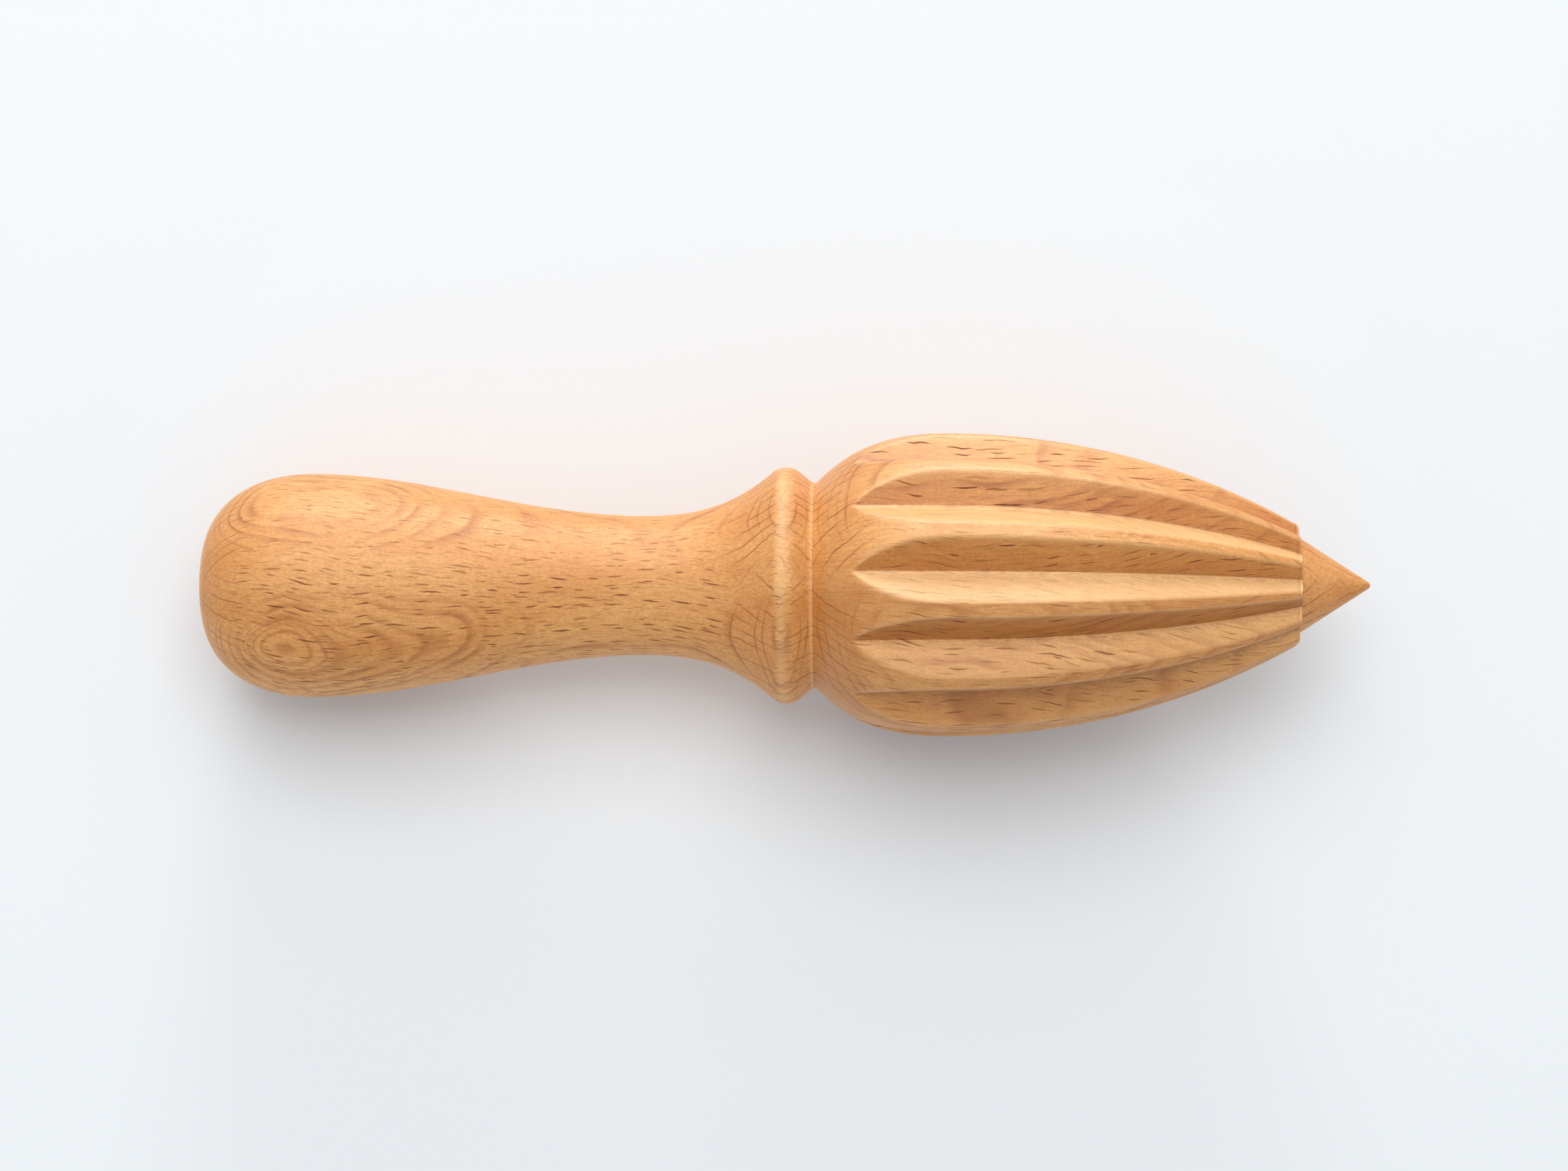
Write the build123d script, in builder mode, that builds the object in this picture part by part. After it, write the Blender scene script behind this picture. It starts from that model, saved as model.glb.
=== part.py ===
# A wooden citrus reamer. A turned grip ends in a collar, a fluted head seats on the collar's
# shoulder, and a dowel glued through both is turned to a point in front of the head.
# Millimetres. The turning axis is X, with the butt of the grip at the origin and the point
# towards +X. +Z is up: one flute faces up and one down, so the head rests on two ridges.
import os
from math import asin, atan2, cos, degrees, hypot, radians, sin, tan

from build123d import *

# Lengths along the turning axis, from the butt to the point
bulb_length = 15.0      # butt to the widest place of the bulb
waist_length = 46.0     # on to the slimmest place
flare_length = 19.25    # on to the top of the collar
collar_back = 3.95      # on to the shoulder that the head seats on
dome_length = 17.85     # shoulder to the widest place of the head
taper_length = 48.1     # on to the head's flat end
point_length = 9.85     # on to the tip

# Radii of the grip
butt_radius = 3.5        # small flat that the grip ends in
bulb_radius = 15.35
waist_radius = 9.55
collar_radius = 16.2
collar_rounding = 2.85   # radius of the rounded top of the collar
shoulder_radius = 14.0   # bottom of the groove between collar and head
strip_width = 0.75       # narrow strip that the collar's back runs out into
strip_rise = 0.4         # how far that strip climbs towards the collar

# Slopes of the outline against the turning axis, in degrees
flare_slope = 40.5
collar_slope = 41.5
dome_slope = 34.5
end_slope = 29.7

# How far each curve runs on straight at its two ends, as shares of the distance between them
bulb_shares = (0.34, 0.51)
waist_shares = (0.34, 0.36)
flare_shares = (0.40, 0.36)
dome_shares = (0.11, 0.64)
taper_shares = (0.26, 0.41)

# Fluted head
head_radius = 20.9
end_radius = 8.25       # outer edge of the head's flat end
end_rounding = 0.35     # softened edge there
flute_count = 12
flute_angle = 116.0     # between the two walls of a flute
floor_share = 0.843     # flute floor, as a share of the head's radius at the same place
run_out_slope = 1.5     # the floor's climb from the crown to where the flute runs out, degrees

# Dowel and its socket
dowel_radius = 6.35
dowel_chamfer = 0.8     # at the hidden end
cone_lip = 0.3          # how far the cone's foot stands out past the dowel, over the glue line
tip_rounding = 0.55
socket_depth = 16.0     # into the collar
glue_gap = 0.05         # all round the dowel
glue_pocket = 0.5       # left at the bottom of the socket

overrun = 5.0           # how far cutters reach past what they cut

waist_x = bulb_length + waist_length
collar_x = waist_x + flare_length
shoulder_x = collar_x + collar_back
crown_x = shoulder_x + dome_length
end_x = crown_x + taper_length
tip_x = end_x + point_length
bore_radius = dowel_radius + glue_gap
cone_radius = dowel_radius + cone_lip


def ease(start, start_slope, end, end_slope, shares):
    """The four points of a smooth curve that leaves and arrives at the given slopes."""
    start, end = Vector(start), Vector(end)
    reach = (end - start).length
    leaving = Vector(cos(radians(start_slope)), sin(radians(start_slope)))
    arriving = Vector(cos(radians(end_slope)), sin(radians(end_slope)))
    return [start, start + leaving * reach * shares[0], end - arriving * reach * shares[1], end]


# Handle: the grip, turned in one piece up to the shoulder, with a blind socket for the dowel
butt_edge = (0, butt_radius)
bulb_top = (bulb_length, bulb_radius)
waist = (waist_x, waist_radius)
strip_start = (shoulder_x - strip_width, shoulder_radius + strip_rise)

with BuildPart() as handle:
    with BuildSketch():
        with BuildLine():
            Line((0, 0), butt_edge)
            Bezier(*ease(butt_edge, 90, bulb_top, 0, bulb_shares))
            Bezier(*ease(bulb_top, 0, waist, 0, waist_shares))
            collar_top = CenterArc(
                (collar_x, collar_radius - collar_rounding),
                collar_rounding,
                start_angle=90 + flare_slope,
                arc_size=-(flare_slope + collar_slope),
            )
            Bezier(*ease(waist, 0, collar_top @ 0, flare_slope, flare_shares))
            Line(collar_top @ 1, strip_start)
            Line(strip_start, (shoulder_x, shoulder_radius))
            Line((shoulder_x, shoulder_radius), (shoulder_x, 0))
            Line((shoulder_x, 0), (0, 0))
        make_face()
    revolve(axis=Axis.X)
    shoulder = handle.faces().filter_by(GeomType.PLANE).sort_by(Axis.X)[-1]
    with Locations(Plane(shoulder)):
        Hole(bore_radius, depth=socket_depth)
handle.part.label = "handle"

# Fluted head: a turned sleeve with V-flutes whose floors follow its outline
crown = (crown_x, head_radius)
taper = ease(crown, 0, (end_x, end_radius), -end_slope, taper_shares)

# One flute's walls meet in a floor line that runs out almost level behind the crown and follows
# the taper in front of it. Each wall is the face above that line, pushed out along its slope.
floor_points = [(point.X, point.Y * floor_share) for point in taper]
floor_start = head_radius * floor_share + dome_length * tan(radians(run_out_slope))
cut_height = head_radius + overrun
wall_reach = cut_height / sin(radians(flute_angle / 2))

with BuildSketch(Plane.XZ) as above_floor:
    with BuildLine():
        Line((shoulder_x, floor_start), floor_points[0])
        following = Bezier(*floor_points)
        past_end = (following @ 1) + (following % 1) * overrun
        Line(following @ 1, past_end)
        Line(past_end, (past_end.X, cut_height))
        Line((past_end.X, cut_height), (shoulder_x, cut_height))
        Line((shoulder_x, cut_height), (shoulder_x, floor_start))
    make_face()

with BuildPart() as flute:
    for side in (-1, 1):
        wall_slope = radians(side * flute_angle / 2)
        extrude(above_floor.sketch, amount=wall_reach, dir=(0, sin(wall_slope), cos(wall_slope)))

with BuildPart() as fluted_head:
    with BuildSketch() as head_outline:
        with BuildLine():
            Line((shoulder_x, bore_radius), (shoulder_x, shoulder_radius))
            Bezier(*ease((shoulder_x, shoulder_radius), dome_slope, crown, 0, dome_shares))
            Bezier(*taper)
            Line((end_x, end_radius), (end_x, bore_radius))
            Line((end_x, bore_radius), (shoulder_x, bore_radius))
        make_face()
        end_edge = head_outline.vertices().group_by(Axis.X)[-1].sort_by(Axis.Y)[-1]
        fillet(end_edge, end_rounding)
    revolve(axis=Axis.X)
    for turn in range(flute_count):
        add(flute.part, rotation=(turn * 360 / flute_count, 0, 0), mode=Mode.SUBTRACT)
fluted_head.part.label = "fluted_head"

# Centre dowel: glued through the head into the handle. Its front end is turned to the point,
# whose foot seats on the head's flat end.
cone_run = point_length - tip_rounding
cone_angle = atan2(cone_radius, cone_run) - asin(tip_rounding / hypot(cone_radius, cone_run))
dowel_x = shoulder_x - socket_depth + glue_pocket

with BuildPart() as centre_dowel:
    with BuildSketch():
        with BuildLine():
            Line((dowel_x, 0), (dowel_x, dowel_radius - dowel_chamfer))
            Line((dowel_x, dowel_radius - dowel_chamfer), (dowel_x + dowel_chamfer, dowel_radius))
            Line((dowel_x + dowel_chamfer, dowel_radius), (end_x, dowel_radius))
            tip = CenterArc(
                (tip_x - tip_rounding, 0),
                tip_rounding,
                start_angle=0,
                arc_size=90 - degrees(cone_angle),
            )
            Line((end_x, dowel_radius), (end_x, cone_radius))
            Line((end_x, cone_radius), tip @ 1)
            Line((tip_x, 0), (dowel_x, 0))
        make_face()
    revolve(axis=Axis.X)
centre_dowel.part.label = "centre_dowel"

os.makedirs("parts", exist_ok=True)
export_step(handle.part, "parts/handle.step")
export_step(fluted_head.part, "parts/fluted_head.step")
export_step(centre_dowel.part, "parts/centre_dowel.step")
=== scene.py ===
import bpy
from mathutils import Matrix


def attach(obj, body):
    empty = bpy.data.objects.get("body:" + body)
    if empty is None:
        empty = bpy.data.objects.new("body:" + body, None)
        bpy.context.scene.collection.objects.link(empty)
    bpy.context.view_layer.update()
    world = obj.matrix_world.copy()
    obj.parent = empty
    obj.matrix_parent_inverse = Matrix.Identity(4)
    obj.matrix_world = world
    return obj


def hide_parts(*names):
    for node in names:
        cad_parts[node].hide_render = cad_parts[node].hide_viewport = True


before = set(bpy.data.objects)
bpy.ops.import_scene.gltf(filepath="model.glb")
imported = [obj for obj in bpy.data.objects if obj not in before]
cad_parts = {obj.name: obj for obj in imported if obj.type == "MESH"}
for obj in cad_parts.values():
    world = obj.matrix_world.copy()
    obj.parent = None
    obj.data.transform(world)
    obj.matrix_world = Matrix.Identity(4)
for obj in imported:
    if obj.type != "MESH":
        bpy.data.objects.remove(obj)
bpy.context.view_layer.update()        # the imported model, in metres: butt at the origin, point towards +X

import math

import bpy
import numpy as np
from mathutils import Matrix, Vector

# Handle. The real one is beech, turned between centres in one piece with its collar, drilled for
# the dowel, sanded round and round, and wiped with food-safe oil. The wood is the same on all
# three pieces, so its material is described here and used again below.
mm = 0.001
bulb_x, waist_x, collar_x, shoulder_x = 15.0, 61.0, 80.25, 84.2
butt_radius, bulb_radius, waist_radius = 3.5, 15.35, 9.55
collar_radius, collar_rounding, shoulder_radius = 16.2, 2.85, 14.0
flare_slope, collar_slope = 40.5, 41.5      # degrees, of the collar's two faces
bulb_shares, waist_shares, flare_shares = (0.34, 0.51), (0.34, 0.36), (0.40, 0.36)
strip_width, strip_rise = 0.75, 0.4         # the narrow strip at the foot of the collar
strip_softness, shoulder_softness = 0.18, 0.10
bore_radius, socket_depth = 6.40, 16.0
sharp_angle = math.radians(38)              # the least turn that still reads as a corner


def ease(start, start_slope, end, end_slope, shares, steps):
    """Points of a smooth curve that leaves and arrives at the given slopes, end left out.

    The shares say how far it runs on straight at its two ends."""
    start, end = np.array(start, float), np.array(end, float)
    reach = np.linalg.norm(end - start)
    start_turn, end_turn = math.radians(start_slope), math.radians(end_slope)
    leaving = np.array([math.cos(start_turn), math.sin(start_turn)])
    arriving = np.array([math.cos(end_turn), math.sin(end_turn)])
    after, before = start + leaving * reach * shares[0], end - arriving * reach * shares[1]
    t = np.linspace(0, 1, steps, endpoint=False)[:, None]
    return ((1 - t) ** 3 * start + 3 * (1 - t) ** 2 * t * after
            + 3 * (1 - t) * t**2 * before + t**3 * end)


def rounded(before, corner, after, reach, steps=5):
    """Points of a small round in place of a corner that the sandpaper has taken off."""
    before, corner, after = (np.array(p, float) for p in (before, corner, after))
    start = corner + (before - corner) / np.linalg.norm(before - corner) * reach
    end = corner + (after - corner) / np.linalg.norm(after - corner) * reach
    t = np.linspace(0, 1, steps)[:, None]
    return (1 - t) ** 2 * start + 2 * (1 - t) * t * corner + t**2 * end


def finished(name, mesh):
    """The object for a finished mesh, smooth but for its true corners."""
    mesh.validate()
    for face in mesh.polygons:
        face.use_smooth = True
    mesh.set_sharp_from_angle(angle=sharp_angle)
    piece = bpy.data.objects.new(name, mesh)
    bpy.context.collection.objects.link(piece)
    return piece


def turned(name, outline, around):
    """A solid of revolution about X from an outline that starts and ends on the axis."""
    outline = np.array(outline)
    turns = np.linspace(0, 2 * math.pi, around, endpoint=False)
    rings = outline[1:-1]
    points = [(outline[0][0], 0, 0)]
    for x, radius in rings:
        points += [(x, radius * math.sin(turn), radius * math.cos(turn)) for turn in turns]
    points.append((outline[-1][0], 0, 0))
    last = len(points) - 1
    faces = []
    for k in range(around):
        nxt = (k + 1) % around
        faces.append((0, 1 + nxt, 1 + k))
        for row in range(len(rings) - 1):
            here, ahead = 1 + row * around, 1 + (row + 1) * around
            faces.append((here + k, here + nxt, ahead + nxt, ahead + k))
        here = 1 + (len(rings) - 1) * around
        faces.append((last, here + k, here + nxt))
    mesh = bpy.data.meshes.new(name)
    mesh.from_pydata(np.array(points) * mm, [], faces)
    return finished(name, mesh)


butt_edge = (0, butt_radius)
bulb_top = (bulb_x, bulb_radius)
waist = (waist_x, waist_radius)
strip_start = (shoulder_x - strip_width, shoulder_radius + strip_rise)
shoulder = (shoulder_x, shoulder_radius)
bore_mouth = (shoulder_x, bore_radius)
socket_end = shoulder_x - socket_depth
collar_centre = np.array([collar_x, collar_radius - collar_rounding])
collar_turn = np.radians(np.linspace(90 + flare_slope, 90 - collar_slope, 24))
collar_arc = np.stack([np.cos(collar_turn), np.sin(collar_turn)], 1) * collar_rounding
collar_arc += collar_centre
handle_outline = np.concatenate([
    [(0, 0), (0, butt_radius / 2)],
    ease(butt_edge, 90, bulb_top, 0, bulb_shares, steps=56),
    ease(bulb_top, 0, waist, 0, waist_shares, steps=74),
    ease(waist, 0, collar_arc[0], flare_slope, flare_shares, steps=50),
    collar_arc,
    rounded(collar_arc[-1], strip_start, shoulder, strip_softness),
    rounded(strip_start, shoulder, bore_mouth, shoulder_softness),
    [bore_mouth, (socket_end, bore_radius), (socket_end, 0)],
])
handle = turned("turned_handle", handle_outline, around=224)


def linear(code):
    """A linear colour from an sRGB hex code."""
    channels = [int(code[i:i + 2], 16) / 255 for i in (1, 3, 5)]
    return tuple(c / 12.92 if c <= 0.04045 else ((c + 0.055) / 1.055) ** 2.4
                 for c in channels) + (1.0,)


def add(tree, kind, *inputs, out=0, named=None, **settings):
    """One node in a tree, with its settings and its inputs: values, or outlets of other nodes."""
    made = tree.nodes.new(kind)
    for name, value in settings.items():
        setattr(made, name, value)
    by_name = {socket.name: socket for socket in reversed(made.inputs)}
    by_name.update({socket.identifier: socket for socket in made.inputs})
    filled = list(zip(made.inputs, inputs))
    filled += [(by_name[key], value) for key, value in (named or {}).items()]
    for socket, value in filled:
        if isinstance(value, bpy.types.NodeSocket):
            tree.links.new(value, socket)
        else:
            socket.default_value = value
    if isinstance(out, int):
        return made.outputs[out]
    return next(socket for socket in made.outputs if out in (socket.name, socket.identifier))


def fleck_group():
    """Rays cut across by the surface: thin dark lens-shaped dashes, one in a cell.

    Length and Spacing are the cell's size and Width is half of a dash's at its middle, in mm.
    Slant is how far the dashes lean apart and Wave how far they bend."""
    tree = bpy.data.node_groups.new("ray_flecks", "ShaderNodeTree")
    face = tree.interface
    face.new_socket(name="Place", in_out="INPUT", socket_type="NodeSocketVector")
    for name in ("Length", "Spacing", "Width", "Slant", "Wave"):
        face.new_socket(name=name, in_out="INPUT", socket_type="NodeSocketFloat")
    for name in ("Fleck", "Chance"):
        face.new_socket(name=name, in_out="OUTPUT", socket_type="NodeSocketFloat")
    place, length, spacing, width, slant, wave = list(tree.nodes.new("NodeGroupInput").outputs)[:6]

    # One dash in each cell, and its place along the tool and round it from the cell's middle
    cell = add(tree, "ShaderNodeCombineXYZ", length, spacing, spacing)
    scaled = add(tree, "ShaderNodeVectorMath", place, cell, operation="DIVIDE")
    cells = add(tree, "ShaderNodeTexVoronoi", scaled, named={"Scale": 1.0, "Randomness": 0.9},
                feature="F1").node.outputs
    chance, lean, size = add(tree, "ShaderNodeSeparateXYZ", cells["Color"]).node.outputs
    centre = add(tree, "ShaderNodeVectorMath", cells["Position"], cell, operation="MULTIPLY")
    away = add(tree, "ShaderNodeVectorMath", place, centre, operation="SUBTRACT")
    along = add(tree, "ShaderNodeSeparateXYZ", away, out="X")
    outward = add(tree, "ShaderNodeVectorMath", place, (0.0, 1.0, 1.0), operation="MULTIPLY")
    outward = add(tree, "ShaderNodeVectorMath", outward, operation="NORMALIZE")
    sideways = add(tree, "ShaderNodeVectorMath", outward, (1.0, 0.0, 0.0),
                   operation="CROSS_PRODUCT")
    across = add(tree, "ShaderNodeVectorMath", away, sideways, operation="DOT_PRODUCT",
                 out="Value")

    # It leans its own way and bends every 2 mm or so
    lean = add(tree, "ShaderNodeMath", lean, 0.5, operation="SUBTRACT")
    lean = add(tree, "ShaderNodeMath", lean, slant, operation="MULTIPLY")
    across = add(tree, "ShaderNodeMath", along, lean, across, operation="MULTIPLY_ADD")
    bend = add(tree, "ShaderNodeTexNoise", place, named={"Scale": 0.55, "Detail": 1.0}, out="Fac")
    bend = add(tree, "ShaderNodeMath", bend, 0.5, operation="SUBTRACT")
    across = add(tree, "ShaderNodeMath", bend, wave, across, operation="MULTIPLY_ADD")
    across = add(tree, "ShaderNodeMath", across, operation="ABSOLUTE")

    # A lens 0.29 to 0.97 of its cell long, with soft edges
    half = add(tree, "ShaderNodeMath", size, 0.336, 0.147, operation="MULTIPLY_ADD")
    half = add(tree, "ShaderNodeMath", half, length, operation="MULTIPLY")
    along = add(tree, "ShaderNodeMath", along, half, operation="DIVIDE")
    along = add(tree, "ShaderNodeMath", along, along, operation="MULTIPLY")
    lens = add(tree, "ShaderNodeMath", 1.0, along, operation="SUBTRACT")
    lens = add(tree, "ShaderNodeMath", lens, 0.0, operation="MAXIMUM")
    thick = add(tree, "ShaderNodeMath", lens, width, operation="MULTIPLY")
    inside = add(tree, "ShaderNodeMath", thick, across, operation="SUBTRACT")
    inside = add(tree, "ShaderNodeMath", inside, width, operation="DIVIDE")
    fleck = add(tree, "ShaderNodeMapRange", inside, -0.15, 0.6, 0.0, 1.0,
                interpolation_type="SMOOTHSTEP")
    given_back = tree.nodes.new("NodeGroupOutput").inputs
    tree.links.new(fleck, given_back["Fleck"])
    tree.links.new(chance, given_back["Chance"])
    return tree


ray_flecks = fleck_group()


# Beech, turned, sanded and oiled: pale orange-brown with a soft sheen. On its long sides the wood's
# rays show as short dark dashes and the growth rings as soft ovals; where the cut slopes across the
# grain, on the flare, the dome and both ends, rays and rings show as thin crossing lines.
def beech(name, collar=False, fluted=False):
    material = bpy.data.materials.new(name)
    material.use_nodes = True
    tree = material.node_tree
    tree.nodes.clear()
    place = add(tree, "ShaderNodeTexCoord", out="Object")
    place = add(tree, "ShaderNodeVectorMath", place, (1 / mm,) * 3, operation="MULTIPLY")
    x, y, z = add(tree, "ShaderNodeSeparateXYZ", place).node.outputs

    # How steeply the surface cuts across the grain: 0 along the tool's sides, 1 on its slopes and
    # ends. A Map Range takes from low, from high, to low, to high
    facing = add(tree, "ShaderNodeNewGeometry", out="Normal")
    facing = add(tree, "ShaderNodeSeparateXYZ", facing, out="X")
    facing = add(tree, "ShaderNodeMath", facing, operation="ABSOLUTE")
    steep = add(tree, "ShaderNodeMapRange", facing, 0.28, 0.55, 0.0, 1.0,
                interpolation_type="SMOOTHSTEP")

    # The grain wanders, about a millimetre either way over some 17 mm
    wander = add(tree, "ShaderNodeTexNoise", place, named={"Scale": 0.06, "Detail": 1.0},
                 out="Color")
    wander = add(tree, "ShaderNodeVectorMath", wander, (0.5,) * 3, operation="SUBTRACT")
    wander = add(tree, "ShaderNodeVectorMath", wander, (0.0, 4.0, 4.0), operation="MULTIPLY")
    grain = add(tree, "ShaderNodeVectorMath", place, wander, operation="ADD")

    # Directions of the tree the billet came from: the bark lies to the far side, 44 degrees off
    # the top, and again to the near side, 42 degrees off, and the rings lie square to both. The
    # underside repeats the top, softened over 3 mm. The rings spread towards the point: there the
    # distance from the middle counts for less, down to 0.6 of it on the head
    _, wide, tall = add(tree, "ShaderNodeSeparateXYZ", grain).node.outputs
    tall = add(tree, "ShaderNodeMath", tall, tall, operation="MULTIPLY")
    tall = add(tree, "ShaderNodeMath", tall, 3.0**2, operation="ADD")
    tall = add(tree, "ShaderNodeMath", tall, operation="SQRT")
    spread = add(tree, "ShaderNodeMath", x, -0.005, 1.07, operation="MULTIPLY_ADD")
    spread = add(tree, "ShaderNodeMath", spread, 0.6, operation="MAXIMUM")
    wide = add(tree, "ShaderNodeMath", wide, spread, operation="MULTIPLY")

    def in_tree(angle):
        """Depth towards the bark and the distance across the rays, for one side of the tree."""
        sine, cosine = math.sin(math.radians(angle)), math.cos(math.radians(angle))
        depth = add(tree, "ShaderNodeMath", tall, cosine, operation="MULTIPLY")
        depth = add(tree, "ShaderNodeMath", wide, sine, depth, operation="MULTIPLY_ADD")
        across = add(tree, "ShaderNodeMath", tall, -sine, operation="MULTIPLY")
        return depth, add(tree, "ShaderNodeMath", wide, cosine, across, operation="MULTIPLY_ADD")

    upper, upper_across = in_tree(44)
    lower, lower_across = in_tree(-42)
    lead = add(tree, "ShaderNodeMath", upper, lower, operation="SUBTRACT")
    on_upper = add(tree, "ShaderNodeMapRange", lead, -2.0, 3.0, 0.0, 1.0,
                   interpolation_type="SMOOTHSTEP")
    on_lower = add(tree, "ShaderNodeMapRange", lead, -3.0, 2.0, 1.0, 0.0,
                   interpolation_type="SMOOTHSTEP")

    # The dashes run along the tool. On the head they are laid on a cylinder, so that a wall's
    # slope doesn't cut them short, and from 14 mm past the crown they slant up each flute's walls
    if fluted:
        side = add(tree, "ShaderNodeAttribute", attribute_name="flute_side", out="Fac")
        slant_start, slant_softness, cylinder_radius = 116.5, 7.0, 18.0
        past = add(tree, "ShaderNodeMath", x, slant_start, operation="SUBTRACT")
        climb = add(tree, "ShaderNodeMath", past, past, slant_softness**2,
                    operation="MULTIPLY_ADD")
        climb = add(tree, "ShaderNodeMath", climb, operation="SQRT")
        climb = add(tree, "ShaderNodeMath", climb, past, operation="ADD")
        rate = add(tree, "ShaderNodeMapRange", side, -0.3, 0.3, 0.008, 0.010)
        climb = add(tree, "ShaderNodeMath", climb, rate, operation="MULTIPLY")
        climb = add(tree, "ShaderNodeMath", climb, side, operation="MULTIPLY")
        twist = add(tree, "ShaderNodeMath", x, -0.003, climb, operation="MULTIPLY_ADD")
        run = add(tree, "ShaderNodeVectorMath", grain, (0.0, 1.0, 1.0), operation="MULTIPLY")
        run = add(tree, "ShaderNodeVectorMath", run, operation="NORMALIZE")
        run = add(tree, "ShaderNodeVectorMath", run, (cylinder_radius,) * 3, operation="MULTIPLY")
        run = add(tree, "ShaderNodeVectorRotate", run, named={"Angle": twist},
                  rotation_type="X_AXIS")
        along = add(tree, "ShaderNodeVectorMath", place, (1.0, 0.0, 0.0), operation="MULTIPLY")
        run = add(tree, "ShaderNodeVectorMath", run, along, operation="ADD")
        long_dashes = {"Length": 6.2, "Spacing": 1.10, "Width": 0.112, "Slant": 0.07, "Wave": 0.35}
    else:
        twist = add(tree, "ShaderNodeMath", x, -0.0045, operation="MULTIPLY")
        run = add(tree, "ShaderNodeVectorRotate", grain, named={"Angle": twist},
                  rotation_type="X_AXIS")
        long_dashes = {"Length": 4.2, "Spacing": 1.0, "Width": 0.135, "Slant": 0.10, "Wave": 0.45}
    # Beech's broad rays are up to 0.2 mm thick and a few mm tall, so the long dashes are near their
    # real size. Its narrow rays are under 0.05 mm thick, so the short dashes are drawn coarser
    short_dashes = {"Length": 2.2, "Spacing": 0.48, "Width": 0.055, "Slant": 0.16, "Wave": 0.3}

    def flecks(shift, sizes):
        """One layer of dashes, and the chance that each is dark."""
        moved = add(tree, "ShaderNodeVectorMath", run, shift, operation="ADD")
        return add(tree, "ShaderNodeGroup", node_tree=ray_flecks,
                   named={"Place": moved, **sizes}).node.outputs

    long_fleck, long_chance = flecks((0.0, 0.0, 0.0), long_dashes)
    short_fleck, short_chance = flecks((17.3, 3.1, 5.7), short_dashes)

    # Growth rings, by their depth in mm, 0.6 to 1.8 mm apart. Each darkens slowly and ends at once.
    # They are soft and broad where the surface follows them, and thin arcs where it cuts across
    ring_depths = (8.6, 10.4, 12.2, 12.9, 13.9, 14.6, 15.2, 16.5, 17.7, 19.0)
    first, last = 8.0, 20.0
    darkens, ends = 0.42, 0.12
    depth = add(tree, "ShaderNodeMath", upper, lower, 1.5, operation="SMOOTH_MAX")
    in_range = add(tree, "ShaderNodeMapRange", depth, first, last)
    ring_line = add(tree, "ShaderNodeValToRGB", in_range)
    ramp = ring_line.node.color_ramp
    for end in ramp.elements:
        end.color = (0, 0, 0, 1)
    for ring_depth in ring_depths:
        for step, value in ((-darkens, 0.0), (0.0, 1.0), (ends, 0.0)):
            stop = ramp.elements.new((ring_depth + step - first) / (last - first))
            stop.color = (value, value, value, 1)
    thin = add(tree, "ShaderNodeMath", ring_line, 5.0, operation="POWER")
    ring = add(tree, "ShaderNodeMix", steep, named={"A_Float": ring_line, "B_Float": thin},
               out="Result_Float")
    apart = add(tree, "ShaderNodeMath", lead, operation="ABSOLUTE")
    lobe = add(tree, "ShaderNodeMapRange", apart, 1.0, 7.0, 0.0, 1.0,
               interpolation_type="SMOOTHSTEP")
    uneven = add(tree, "ShaderNodeTexNoise", grain, named={"Scale": 0.13, "Detail": 2.0}, out="Fac")
    lobe_share = add(tree, "ShaderNodeMapRange", uneven, 0.38, 0.62, 0.15, 1.0)
    lobe = add(tree, "ShaderNodeMath", lobe, lobe_share, operation="MULTIPLY")
    ring = add(tree, "ShaderNodeMath", ring, lobe, operation="MULTIPLY")
    if not fluted:
        # The small swirl on the near side of the bulb: rings 0.2 mm apart in depth round a dark eye
        swirl = add(tree, "ShaderNodeMath", lower, 30.0, operation="MULTIPLY")
        swirl = add(tree, "ShaderNodeMath", swirl, operation="SINE")
        swirl = add(tree, "ShaderNodeMapRange", swirl, 0.0, 1.0, 0.0, 0.6)
        deep_enough = add(tree, "ShaderNodeMapRange", lower, 14.0, 15.3, 0.0, 1.0)
        on_bulb = add(tree, "ShaderNodeMapRange", x, 24.0, 34.0, 1.0, 0.0)
        for share in (deep_enough, on_bulb, on_lower):
            swirl = add(tree, "ShaderNodeMath", swirl, share, operation="MULTIPLY")
        ring = add(tree, "ShaderNodeMath", ring, swirl, operation="MAXIMUM")

    ray_spacing = 1.25

    def ray_lines(across, seed):
        """Rays cut lengthwise: thin lines, a spacing apart, that break off and start again."""
        count = add(tree, "ShaderNodeMath", across, 1 / ray_spacing, operation="MULTIPLY")
        bent = add(tree, "ShaderNodeTexNoise", place, named={"Scale": 0.4, "Detail": 2.0},
                   out="Fac")
        count = add(tree, "ShaderNodeMath", bent, 0.55, count, operation="MULTIPLY_ADD")
        nearest = add(tree, "ShaderNodeMath", count, operation="ROUND")
        off = add(tree, "ShaderNodeMath", count, nearest, operation="SUBTRACT")
        off = add(tree, "ShaderNodeMath", off, operation="ABSOLUTE")
        line = add(tree, "ShaderNodeMapRange", off, 0.0, 0.11, 1.0, 0.0,
                   interpolation_type="SMOOTHSTEP")
        onward = add(tree, "ShaderNodeMath", x, 0.16, operation="MULTIPLY")
        row = add(tree, "ShaderNodeMath", nearest, 3.7, operation="MULTIPLY")
        spot = add(tree, "ShaderNodeCombineXYZ", onward, row, seed)
        broken = add(tree, "ShaderNodeTexNoise", spot, named={"Scale": 1.0, "Detail": 1.0},
                     out="Fac")
        broken = add(tree, "ShaderNodeMapRange", broken, 0.40, 0.54, 0.0, 1.0)
        return add(tree, "ShaderNodeMath", line, broken, operation="MULTIPLY")

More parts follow.
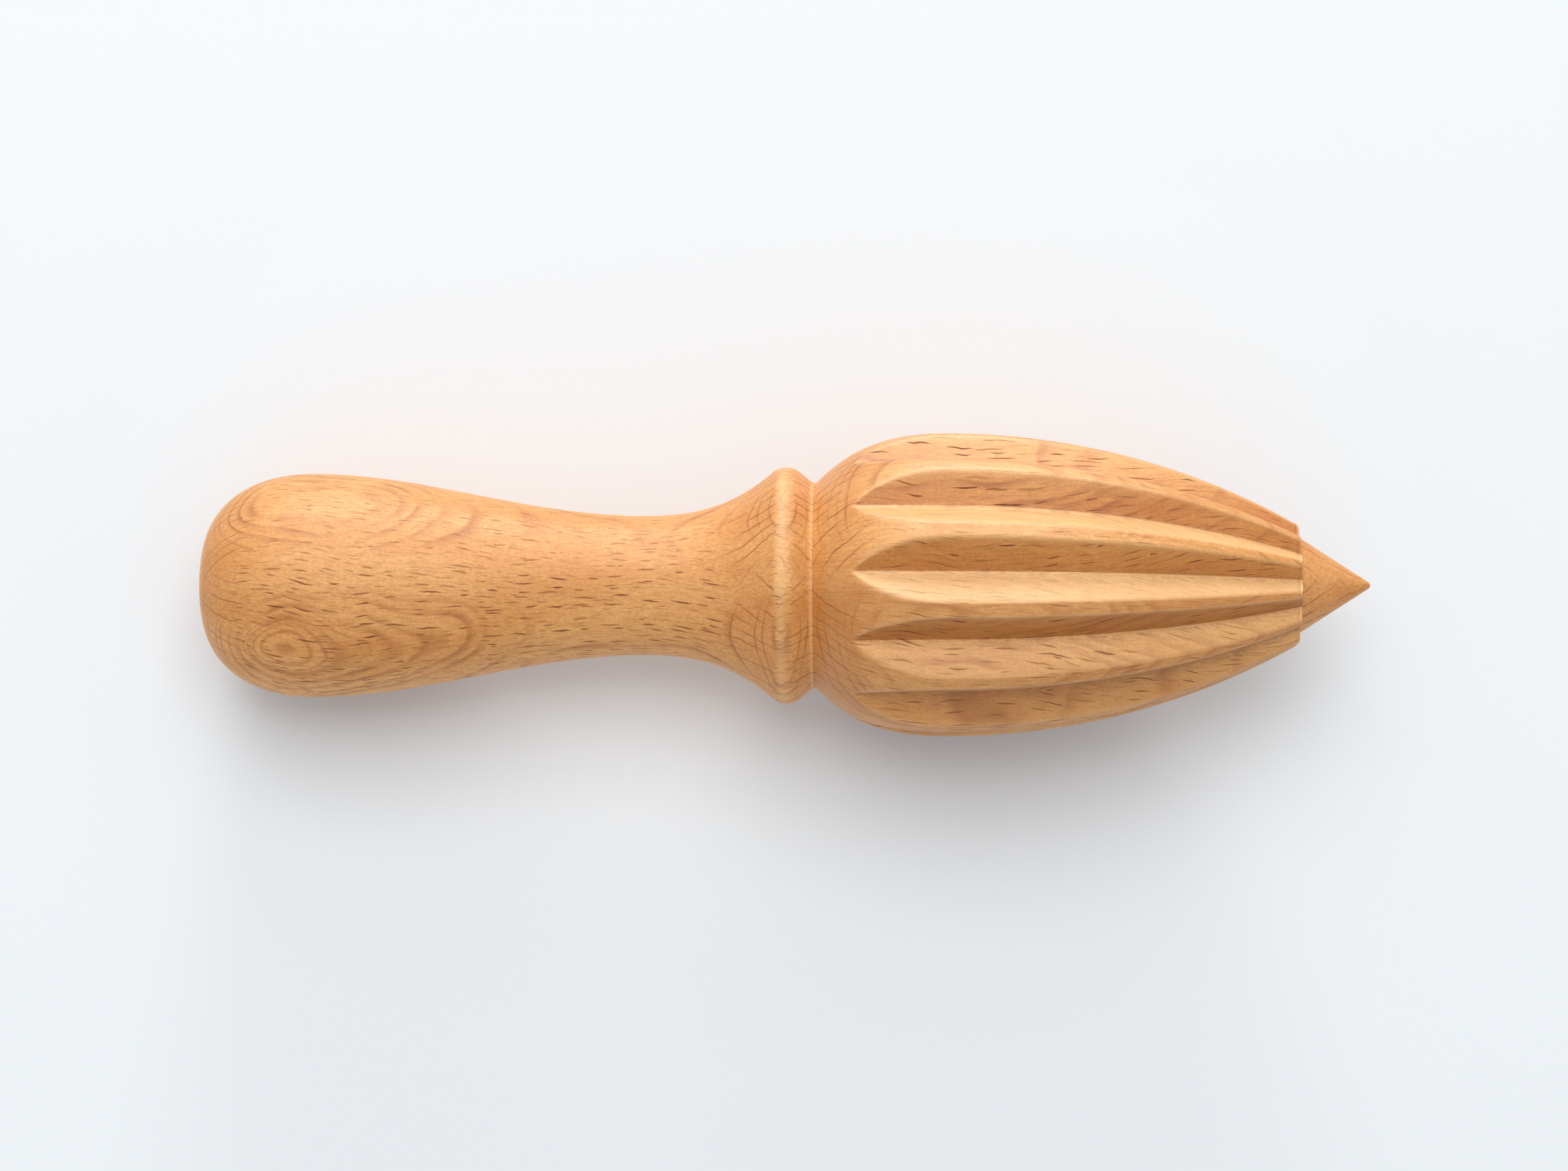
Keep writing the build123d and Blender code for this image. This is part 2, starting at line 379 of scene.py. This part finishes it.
    ray = add(tree, "ShaderNodeMath", ray_lines(lower_across, 2.0), on_lower, operation="MULTIPLY")
    ray_up = add(tree, "ShaderNodeMath", ray_lines(upper_across, 9.0), on_upper,
                 operation="MULTIPLY")
    ray = add(tree, "ShaderNodeMath", ray, ray_up, operation="MAXIMUM")
    ray = add(tree, "ShaderNodeMath", ray, steep, operation="MULTIPLY")

    # Fibres and pores. The real ones are under 0.1 mm across, too fine to show, so the fibres are
    # drawn as streaks 0.3 mm across and 3 mm long, and the pores as specks of 0.4 mm
    fine = add(tree, "ShaderNodeVectorMath", run, (0.32, 3.4, 3.4), operation="MULTIPLY")
    fibre = add(tree, "ShaderNodeTexNoise", fine, out="Fac",
                named={"Scale": 1.0, "Detail": 3.0, "Roughness": 0.6})
    speck = add(tree, "ShaderNodeTexNoise", place, out="Fac",
                named={"Scale": 2.4, "Detail": 2.0, "Roughness": 0.6})

    # Slow patches of paler wood, 6 mm across and 30 mm long
    broad = add(tree, "ShaderNodeVectorMath", grain, (0.03, 0.17, 0.17), operation="MULTIPLY")
    patch = add(tree, "ShaderNodeTexNoise", broad, named={"Scale": 1.0, "Detail": 3.0}, out="Fac")

    def shown(*factors):
        """How much of a layer shows: its factors multiplied."""
        share = factors[0]
        for factor in factors[1:]:
            share = add(tree, "ShaderNodeMath", share, factor, operation="MULTIPLY")
        return share

    # Some dashes are darker than others. The long ones fade where the cut is steep, on the grip's
    # far side, and on the head's far side but for the walls that face away from the light: on the
    # head's lit walls the fading is painted highlight
    fading = add(tree, "ShaderNodeMath", steep, -0.85, 1.0, operation="MULTIPLY_ADD")
    if fluted:
        # on the far half, dashes fade on the walls that face the light: painted highlight
        calm = add(tree, "ShaderNodeMapRange", side, -0.3, 1.0, 0.32, 1.0)
        near_half = add(tree, "ShaderNodeMapRange", y, -9.0, 2.0, 1.0, 0.0)
        calm = add(tree, "ShaderNodeMath", calm, near_half, operation="MAXIMUM")
    else:
        calm = add(tree, "ShaderNodeMath", on_upper, -0.45, 1.0, operation="MULTIPLY_ADD")
    strong = add(tree, "ShaderNodeMapRange", long_chance, 0.10, 0.90, 0.20, 1.0)
    long_share = shown(long_fleck, strong, fading, calm)
    short_strength = 0.42 if fluted else 0.62
    strong = add(tree, "ShaderNodeMapRange", short_chance, 0.15, 1.0, 0.0, short_strength)
    short_share = shown(short_fleck, strong)
    ray_share = shown(ray, 0.75)
    ring_share = add(tree, "ShaderNodeMath", steep, 0.06, 0.72, operation="MULTIPLY_ADD")

    # The colour's layers, one over another: how each is laid, its colour, and how much shows
    layers = [
        ("MIX", "#ECAF68", add(tree, "ShaderNodeMapRange", patch, 0.3, 0.7, 0.0, 1.0)),
        ("MIX", "#B86E2E", add(tree, "ShaderNodeMapRange", fibre, 0.40, 0.68, 0.0, 0.42)),
        ("MIX", "#BE7836", add(tree, "ShaderNodeMapRange", speck, 0.42, 0.68, 0.0, 0.30)),
        ("MIX", "#F2C58A", add(tree, "ShaderNodeMapRange", speck, 0.44, 0.30, 0.0, 0.18)),
        ("MIX", "#C06A22", shown(steep, 0.18)),             # end grain drinks more oil
        ("MIX", "#A2561A", shown(ring, ring_share)),
        ("MIX", "#84461A", shown(ring, steep, 0.45)),
        ("MIX", "#824212", ray_share),
        ("MIX", "#7A3A0A", long_share),
        ("MIX", "#94501A", short_share),
    ]

    if collar:
        # The rounded top of the collar and the strip at its foot get a painted highlight, a pale band
        # for the light they catch, and are crossed by short ticks where the rays end: some 57 round
        # the top, 88 on the strip
        around = add(tree, "ShaderNodeMath", y, z, operation="ARCTAN2")
        for middle, reach, highlight_strength, ticks in ((79.9, 1.275, 0.26, 9.0), (83.95, 0.42, 0.42, 14.0)):
            off = add(tree, "ShaderNodeMath", x, middle, operation="SUBTRACT")
            off = add(tree, "ShaderNodeMath", off, operation="ABSOLUTE")
            band = add(tree, "ShaderNodeMapRange", off, 0.0, reach, 1.0, 0.0,
                       interpolation_type="SMOOTHSTEP")
            count = add(tree, "ShaderNodeMath", around, ticks, operation="MULTIPLY")
            count = add(tree, "ShaderNodeMath", uneven, 9.0, count, operation="MULTIPLY_ADD")
            nearest = add(tree, "ShaderNodeMath", count, operation="ROUND")
            off = add(tree, "ShaderNodeMath", count, nearest, operation="SUBTRACT")
            off = add(tree, "ShaderNodeMath", off, operation="ABSOLUTE")
            tick = add(tree, "ShaderNodeMapRange", off, 0.0, 0.10, 1.0, 0.0,
                       interpolation_type="SMOOTHSTEP")
            chance = add(tree, "ShaderNodeTexWhiteNoise", named={"W": nearest},
                         noise_dimensions="1D", out="Value")
            layers += [
                # painted highlight on the crest and the strip
                ("MIX", "#F4C98F", shown(band, highlight_strength)),
                ("MIX", "#8A4614", shown(tick, chance, band, 0.85)),
            ]

    # The oil leaves a satin surface, duller where the long dashes stand open
    satin = 0.42 if fluted else 0.56
    rough = add(tree, "ShaderNodeMapRange", long_share, 0.0, 0.6, satin, 0.75)
    if fluted:
        # The wall of each flute that faces away from the light gets painted shade, a deeper colour,
        # least so on the far edge. The wall that faces the light gets a painted highlight, paler, more
        # so towards the far side. Both are darker in patches along their feet, and the ridges between
        # flutes are rubbed pale and nicked. The near side gets painted shade, browner, but for the lit
        # walls that still face up
        cut = add(tree, "ShaderNodeAttribute", attribute_name="flute_cut", out="Fac")
        wall = add(tree, "ShaderNodeMapRange", cut, 0.02, 0.35, 0.0, 1.0,
                   interpolation_type="SMOOTHSTEP")
        # painted shade: the flute wall that faces away from the light
        shaded_side = add(tree, "ShaderNodeMapRange", side, -0.05, 0.15, 0.0, 1.0)
        # how much of that painted shade shows: less on the far edge
        oiled = add(tree, "ShaderNodeMapRange", y, 9.0, 17.0, 1.0, 0.30)
        lit_side = add(tree, "ShaderNodeMath", 1.0, shaded_side, operation="SUBTRACT")
        lit_wall = shown(wall, lit_side)
        # lit walls on the near side keep their colour; the rest of the near side gets painted shade
        kept = add(tree, "ShaderNodeMapRange", y, -14.0, -9.0, 0.0, 0.75)
        kept = shown(lit_wall, kept)
        near_shade = add(tree, "ShaderNodeMath", 1.0, kept, operation="SUBTRACT")
        # painted highlight on the lit walls, stronger towards the far side
        pale = add(tree, "ShaderNodeMapRange", y, -14.0, 3.0, 0.04, 0.27)
        foot = add(tree, "ShaderNodeAttribute", attribute_name="flute_foot", out="Fac")
        foot = add(tree, "ShaderNodeMapRange", foot, 0.55, 1.0, 0.0, 1.0)
        # darker in patches towards each wall's foot, more so towards the point
        foot_patches = add(tree, "ShaderNodeTexNoise", fine, named={"Scale": 1.7, "Detail": 2.0}, out="Fac")
        foot_patches = add(tree, "ShaderNodeMapRange", foot_patches, 0.45, 0.62, 0.0, 1.0)
        onward = add(tree, "ShaderNodeMapRange", x, 100.0, 140.0, 0.2, 0.6)
        ridge = add(tree, "ShaderNodeAttribute", attribute_name="flute_ridge", out="Fac")
        nick = add(tree, "ShaderNodeTexNoise", fine, out="Fac",
                   named={"Scale": 0.9, "Detail": 2.0, "Roughness": 0.7})
        nick = add(tree, "ShaderNodeMapRange", nick, 0.58, 0.70, 0.0, 0.5)
        layers += [
            # painted shade on the walls that face away from the light
            ("MULTIPLY", "#E3D3B6", shown(wall, shaded_side, oiled)),
            # painted shade on the near side
            ("MIX", "#A05C22", shown(on_lower, near_shade, 0.28)),
            # painted highlight on the walls that face the light
            ("MIX", "#FFE2A6", shown(lit_wall, pale)),
            ("MIX", "#7C421C", shown(foot_patches, onward, foot, wall)),
            ("MIX", "#F4C78D", shown(ridge, ridge, 0.25)),
            ("MIX", "#8A4C1E", shown(ridge, ridge, nick)),
        ]
        rough = add(tree, "ShaderNodeMath", wall, 0.06, rough, operation="MULTIPLY_ADD")

    colour = linear("#DB944B")
    for laid, code, share in layers:
        colour = add(tree, "ShaderNodeMix", share, data_type="RGBA", blend_type=laid,
                     out="Result_Color", named={"A_Color": colour, "B_Color": linear(code)})
    hollow = fibre
    for share in (long_share, short_share, ray_share):
        hollow = add(tree, "ShaderNodeMath", hollow, share, operation="ADD")
    relief = add(tree, "ShaderNodeBump", invert=True, out="Normal",
                 named={"Height": hollow, "Strength": 0.3, "Distance": 0.05 * mm})
    shader = add(tree, "ShaderNodeBsdfPrincipled", named={
        "Base Color": colour, "Normal": relief, "Roughness": rough, "IOR": 1.5, "Metallic": 0.0,
        "Specular IOR Level": 0.5, "Sheen Weight": 0.4, "Sheen Roughness": 0.3,
        "Sheen Tint": linear("#FFDDB0")})
    tree.links.new(shader, tree.nodes.new("ShaderNodeOutputMaterial").inputs["Surface"])
    return material


handle.data.materials.append(beech("beech_turned_and_oiled", collar=True))
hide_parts("handle")
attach(handle, "root")

# Centre dowel. Half-inch beech dowel glued through the head into the collar, its front end turned
# to a smooth point that pierces the fruit. Only that point shows.
end_x, tip_x = 150.15, 160.0
dowel_radius, dowel_chamfer, glue_pocket = 6.35, 0.8, 0.5
cone_radius, lip_softness, tip_rounding = 6.65, 0.10, 0.55
dowel_x = socket_end + glue_pocket
first_ring_x = dowel_x + 8.0    # rings along the dowel keep its faces short
cone_run = tip_x - tip_rounding - end_x
cone_slope = math.atan2(cone_radius, cone_run)
cone_slope -= math.asin(tip_rounding / math.hypot(cone_radius, cone_run))
tip_turn = np.linspace(math.pi / 2 - cone_slope, 0, 9)
tip_arc = np.stack([np.cos(tip_turn), np.sin(tip_turn)], 1) * tip_rounding
tip_arc += (tip_x - tip_rounding, 0)
tip_arc[-1] = (tip_x, 0)
dowel_end, cone_foot = (end_x, dowel_radius), (end_x, cone_radius)
dowel_outline = np.concatenate([
    [(dowel_x, 0), (dowel_x, dowel_radius - dowel_chamfer)],
    [(dowel_x + dowel_chamfer, dowel_radius)],
    np.linspace((first_ring_x, dowel_radius), dowel_end, 12),
    rounded(dowel_end, cone_foot, tip_arc[0], lip_softness),
    np.linspace(cone_foot, tip_arc[0], 22)[1:-1],
    tip_arc,
])
dowel = turned("pointed_dowel", dowel_outline, around=160)
dowel.data.materials.append(beech("beech_dowel_turned_to_a_point"))
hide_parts("centre_dowel")
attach(dowel, "root")

# Fluted head. A beech sleeve turned to an egg, then cut with twelve V-flutes by a cutter that
# follows its taper and runs out on the dome behind it. The ridges are sanded soft by hand.
crown_x, head_radius, end_radius, end_rounding = 102.05, 20.9, 8.25, 0.35
dome_slope, dome_shares = 34.5, (0.11, 0.64)
end_slope, taper_shares = 29.7, (0.26, 0.41)
flute_count, flute_angle, floor_share, run_out_slope = 12, 116.0, 0.843, 1.5
crown, head_end, bore_end = (crown_x, head_radius), (end_x, end_radius), (end_x, bore_radius)
dome = ease(shoulder, dome_slope, crown, 0, dome_shares, steps=96)
taper = ease(crown, 0, head_end, -end_slope, taper_shares, steps=128)
end_corner = rounded(taper[-1], head_end, bore_end, end_rounding, steps=6)
corner_gap = 0.1    # the taper's points stop short of the rounded corner
taper = taper[taper[:, 0] < end_corner[0][0] - corner_gap]
blank = np.concatenate([[bore_mouth], dome, taper, end_corner, [bore_end]])
run_out = (head_radius * floor_share
           + (crown_x - blank[:, 0]) * math.tan(math.radians(run_out_slope)))
follow = np.interp(blank[:, 0], taper[:, 0], taper[:, 1], right=end_radius) * floor_share
floor = np.where(blank[:, 0] < crown_x, run_out, follow)
bore = np.linspace(bore_end, bore_mouth, 8)[1:]
blank = np.concatenate([blank, bore])
floor = np.concatenate([floor, np.full(len(bore), head_radius)])    # the bore is never cut

outline = bpy.data.meshes.new("fluted_head_outline")
edges = [(k, k + 1) for k in range(len(blank) - 1)]
outline.from_pydata([(x * mm, radius * mm, 0) for x, radius in blank], edges, [])
kept_floor = outline.attributes.new("flute_floor", "FLOAT", "POINT")
kept_floor.data.foreach_set("value", floor * mm)
head = bpy.data.objects.new("fluted_head_blank", outline)
bpy.context.collection.objects.link(head)

flutes = bpy.data.node_groups.new("turn_and_flute", "GeometryNodeTree")
socket_ids = {}
for name, kind in (("Outline", "NodeSocketGeometry"), ("Flutes", "NodeSocketInt"),
                   ("Flute half angle", "NodeSocketFloat"), ("Columns in a flute", "NodeSocketInt"),
                   ("Wall columns share", "NodeSocketFloat"), ("Ridge softness", "NodeSocketFloat"),
                   ("Floor softness", "NodeSocketFloat"), ("Finish", "NodeSocketMaterial")):
    made = flutes.interface.new_socket(name=name, in_out="INPUT", socket_type=kind)
    socket_ids[name] = made.identifier
flutes.interface.new_socket(name="Head", in_out="OUTPUT", socket_type="NodeSocketGeometry")
given = {socket.name: socket for socket in flutes.nodes.new("NodeGroupInput").outputs}

# A grid with one row for each outline point and one column for each step round the axis
rows = add(flutes, "GeometryNodeAttributeDomainSize", given["Outline"], component="MESH",
           out="Point Count")
columns = add(flutes, "ShaderNodeMath", given["Flutes"], given["Columns in a flute"], 1.0,
              operation="MULTIPLY_ADD")
grid = add(flutes, "GeometryNodeMeshGrid", 1.0, 1.0, rows, columns, out="Mesh")
spot = add(flutes, "GeometryNodeInputPosition")
down, around, _ = add(flutes, "ShaderNodeSeparateXYZ", spot).node.outputs
last_row = add(flutes, "ShaderNodeMath", rows, 1.0, operation="SUBTRACT")
row = add(flutes, "ShaderNodeMath", down, 0.5, operation="ADD")
row = add(flutes, "ShaderNodeMath", row, last_row, operation="MULTIPLY")
row = add(flutes, "ShaderNodeMath", row, operation="ROUND")
outline_spot = add(flutes, "GeometryNodeInputPosition")
outline_place = add(flutes, "GeometryNodeSampleIndex", given["Outline"],
                    named={"Index": row, "Value": outline_spot},
                    data_type="FLOAT_VECTOR", domain="POINT")
along, radius, _ = add(flutes, "ShaderNodeSeparateXYZ", outline_place).node.outputs
floor_value = add(flutes, "GeometryNodeInputNamedAttribute", "flute_floor", data_type="FLOAT",
                  out="Attribute")
floor_radius = add(flutes, "GeometryNodeSampleIndex", given["Outline"],
                   named={"Index": row, "Value": floor_value}, data_type="FLOAT", domain="POINT")

# How far round its flute a column stands, -1 to 1, and the columns drawn to the flute's edges.
# Where the flute has run out, its columns still open a little to each side
least_mouth = math.radians(3.0)
way = add(flutes, "ShaderNodeMath", around, 0.5, operation="ADD")
way = add(flutes, "ShaderNodeMath", way, given["Flutes"], operation="MULTIPLY")
nearest = add(flutes, "ShaderNodeMath", way, operation="ROUND")
offset = add(flutes, "ShaderNodeMath", way, nearest, operation="SUBTRACT")
offset = add(flutes, "ShaderNodeMath", offset, 2.0, operation="MULTIPLY")
side = add(flutes, "ShaderNodeMath", offset, operation="SIGN")
reach = add(flutes, "ShaderNodeMath", offset, operation="ABSOLUTE")
half_angle = given["Flute half angle"]
sine = add(flutes, "ShaderNodeMath", half_angle, operation="SINE")
cut = add(flutes, "ShaderNodeMath", floor_radius, radius, operation="DIVIDE")
cut = add(flutes, "ShaderNodeMath", cut, sine, operation="MULTIPLY")
cut = add(flutes, "ShaderNodeMath", cut, sine, operation="MINIMUM")
mouth = add(flutes, "ShaderNodeMath", cut, operation="ARCSINE")
mouth = add(flutes, "ShaderNodeMath", half_angle, mouth, operation="SUBTRACT")
mouth = add(flutes, "ShaderNodeMath", mouth, least_mouth, operation="MAXIMUM")
half_pitch = add(flutes, "ShaderNodeMath", math.pi, given["Flutes"], operation="DIVIDE")
wall_share = given["Wall columns share"]
on_wall = add(flutes, "ShaderNodeMapRange", reach, 0.0, wall_share, 0.0, mouth)
on_land = add(flutes, "ShaderNodeMapRange", reach, wall_share, 1.0, 0.0, 1.0)
land = add(flutes, "ShaderNodeMath", half_pitch, mouth, operation="SUBTRACT")
turn = add(flutes, "ShaderNodeMath", on_land, land, on_wall, operation="MULTIPLY_ADD")
middle = add(flutes, "ShaderNodeMath", nearest, half_pitch, operation="MULTIPLY")
middle = add(flutes, "ShaderNodeMath", middle, 2.0, operation="MULTIPLY")
angle = add(flutes, "ShaderNodeMath", turn, side, middle, operation="MULTIPLY_ADD")

# The V's wall is a straight line from the floor; the lower of wall and blank is what is left
soft_turn = add(flutes, "ShaderNodeMath", turn, turn, operation="MULTIPLY")
floor_softness = given["Floor softness"]
floor_soft = add(flutes, "ShaderNodeMath", floor_softness, floor_softness, operation="MULTIPLY")
soft_turn = add(flutes, "ShaderNodeMath", soft_turn, floor_soft, operation="ADD")
soft_turn = add(flutes, "ShaderNodeMath", soft_turn, operation="SQRT")
slope = add(flutes, "ShaderNodeMath", half_angle, soft_turn, operation="SUBTRACT")
slope = add(flutes, "ShaderNodeMath", slope, operation="SINE")
wall = add(flutes, "ShaderNodeMath", floor_radius, sine, operation="MULTIPLY")
wall = add(flutes, "ShaderNodeMath", wall, slope, operation="DIVIDE")
left = add(flutes, "ShaderNodeMath", wall, radius, given["Ridge softness"],
           operation="SMOOTH_MIN")
angle_sine = add(flutes, "ShaderNodeMath", angle, operation="SINE")
angle_cosine = add(flutes, "ShaderNodeMath", angle, operation="COSINE")
new_y = add(flutes, "ShaderNodeMath", left, angle_sine, operation="MULTIPLY")
new_z = add(flutes, "ShaderNodeMath", left, angle_cosine, operation="MULTIPLY")
new_place = add(flutes, "ShaderNodeCombineXYZ", along, new_y, new_z)

# What the wood's pattern follows on the walls: which wall, how deep the cut is in mm, how near the
# floor, and the ridge's worn edge, where the flute is at least 0.3 mm deep
cut_depth = add(flutes, "ShaderNodeMath", radius, left, operation="SUBTRACT")
cut_depth = add(flutes, "ShaderNodeMath", cut_depth, 1 / mm, operation="MULTIPLY")
is_cut = add(flutes, "ShaderNodeMapRange", cut_depth, 0.05, 0.2, 0.0, 1.0)
which_wall = add(flutes, "ShaderNodeMath", side, is_cut, operation="MULTIPLY")
up_wall = add(flutes, "ShaderNodeMath", reach, wall_share, operation="DIVIDE")
foot = add(flutes, "ShaderNodeMath", 1.0, up_wall, operation="SUBTRACT")
rim = add(flutes, "ShaderNodeMath", up_wall, 1.0, operation="SUBTRACT")
rim = add(flutes, "ShaderNodeMath", rim, operation="ABSOLUTE")
rim = add(flutes, "ShaderNodeMapRange", rim, 0.0, 0.25, 1.0, 0.0)
fluted_here = add(flutes, "ShaderNodeMath", radius, floor_radius, operation="SUBTRACT")
fluted_here = add(flutes, "ShaderNodeMapRange", fluted_here, 0.3 * mm, 1.0 * mm, 0.0, 1.0)
rim = add(flutes, "ShaderNodeMath", rim, fluted_here, operation="MULTIPLY")
shaped = grid
for kept, value in (("flute_side", which_wall), ("flute_cut", cut_depth),
                    ("flute_foot", foot), ("flute_ridge", rim)):
    shaped = add(flutes, "GeometryNodeStoreNamedAttribute", shaped,
                 named={"Name": kept, "Value": value}, data_type="FLOAT", domain="POINT")
shaped = add(flutes, "GeometryNodeSetPosition", shaped, named={"Position": new_place})
merge_distance = 0.001 * mm     # closes the grid round the axis and at the bore's mouth
closed = add(flutes, "GeometryNodeMergeByDistance", shaped, named={"Distance": merge_distance})
closed = add(flutes, "GeometryNodeFlipFaces", closed)
closed = add(flutes, "GeometryNodeRealizeInstances", closed)
closed = add(flutes, "GeometryNodeSetMaterial", closed, named={"Material": given["Finish"]})
flutes.links.new(closed, flutes.nodes.new("NodeGroupOutput").inputs[0])

fluting = head.modifiers.new("turn_and_flute", "NODES")
fluting.node_group = flutes
for name, value in {
    "Flutes": flute_count, "Flute half angle": math.radians(flute_angle / 2),
    "Columns in a flute": 28, "Wall columns share": 9 / 14,
    "Ridge softness": 0.25 * mm, "Floor softness": math.radians(0.7),
    "Finish": beech("beech_turned_fluted_and_oiled", fluted=True),
}.items():
    fluting[socket_ids[name]] = value
depsgraph = bpy.context.evaluated_depsgraph_get()
cut_head = bpy.data.meshes.new_from_object(head.evaluated_get(depsgraph))
head.modifiers.clear()
bpy.data.objects.remove(head)
fluted_head = finished("turned_fluted_head", cut_head)
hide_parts("fluted_head")
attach(fluted_head, "root")

# Table. A smooth pale sheet that the tool lies on: it rests on the bulb and on two ridges of the
# head, 15 degrees to each side of the flute that faces down, so its axis leans 3.2 degrees.
ridge_drop = head_radius * math.cos(math.pi / flute_count)
lean = math.asin((ridge_drop - bulb_radius) / (crown_x - bulb_x))
table_up = np.array([math.sin(lean), 0, math.cos(lean)])
table_along, table_aside = np.array([math.cos(lean), 0, -math.sin(lean)]), np.array([0, 1, 0])
tool_points = np.array([tuple(vertex.co) for piece in (handle, fluted_head)
                        for vertex in piece.data.vertices])
drop = (tool_points @ table_up).min()
tool_middle = 80.0
table_middle = table_up * drop + table_along * tool_middle * mm
half_size = 1.6     # metres
corners = [table_middle + half_size * (i * table_along + j * table_aside)
           for i, j in ((-1, -1), (1, -1), (1, 1), (-1, 1))]
table_mesh = bpy.data.meshes.new("table")
table_mesh.from_pydata(corners, [], [(0, 1, 2, 3)])
table = bpy.data.objects.new("table", table_mesh)
bpy.context.collection.objects.link(table)
paper = bpy.data.materials.new("matt_white_sheet")
paper.use_nodes = True
paper_shader = paper.node_tree.nodes["Principled BSDF"]
paper_shader.inputs["Base Color"].default_value = linear("#E8EAEA")
paper_shader.inputs["Roughness"].default_value = 0.8
paper_shader.inputs["Specular IOR Level"].default_value = 0.2
table_mesh.materials.append(paper)

# Light. Two soft boxes on the far side of the table, one above the tool and one low behind it,
# in a pale room. A third on the far side only adds to the gloss and sheen of the upper edges.
target = Vector((79.9 * mm, 0, 0))      # the middle of the picture, on the tool's axis


def soft_box(name, place, size, power, colour):
    """A square soft box that faces the tool."""
    light = bpy.data.lights.new(name, "AREA")
    light.shape, light.size, light.energy, light.color = "SQUARE", size, power, linear(colour)[:3]
    holder = bpy.data.objects.new(name, light)
    bpy.context.collection.objects.link(holder)
    holder.location = place
    holder.rotation_euler = (target - Vector(place)).to_track_quat("-Z", "Y").to_euler()
    return holder


soft_box("soft_box_above", place=(0.08, 0.43, 1.07), size=0.90, power=7.4, colour="#FFFFFF")
soft_box("soft_box_low", place=(0.08, 1.50, 0.25), size=0.45, power=11.0, colour="#FFFFFF")
sheen_box = soft_box("soft_box_for_the_sheen", place=(0.08, 1.25, 0.75), size=1.50, power=26.0,
                     colour="#FFF8EC")
sheen_box.visible_diffuse = False
world = bpy.data.worlds.new("pale_room")
world.use_nodes = True
room = world.node_tree.nodes["Background"]
room.inputs["Color"].default_value = linear("#EFF4FB")
room.inputs["Strength"].default_value = 0.675
bpy.context.scene.world = world

# Camera. A long lens almost straight above the table, 6 degrees towards the near side and 2 towards
# the point. At its distance the picture is 215.2 mm wide.
yaw, pitch = math.radians(1.9), math.radians(6.1)
distance, picture_width, sensor_width = 563.6, 215.2, 36.0
back = Vector((math.sin(yaw), -math.sin(pitch) * math.cos(yaw), math.cos(pitch) * math.cos(yaw)))
camera = bpy.data.cameras.new("camera")
camera.sensor_width, camera.lens = sensor_width, sensor_width * distance / picture_width
camera.clip_start, camera.clip_end = 0.01, 20.0
viewer = bpy.data.objects.new("camera", camera)
bpy.context.collection.objects.link(viewer)
viewer.location = target + back * distance * mm
right = Vector((1, 0, 0)) - back * back.x
right.normalize()
up = back.cross(right)
viewer.rotation_euler = Matrix((right, up, back)).transposed().to_euler()
bpy.context.scene.camera = viewer
bpy.context.scene.view_settings.view_transform = "Standard"
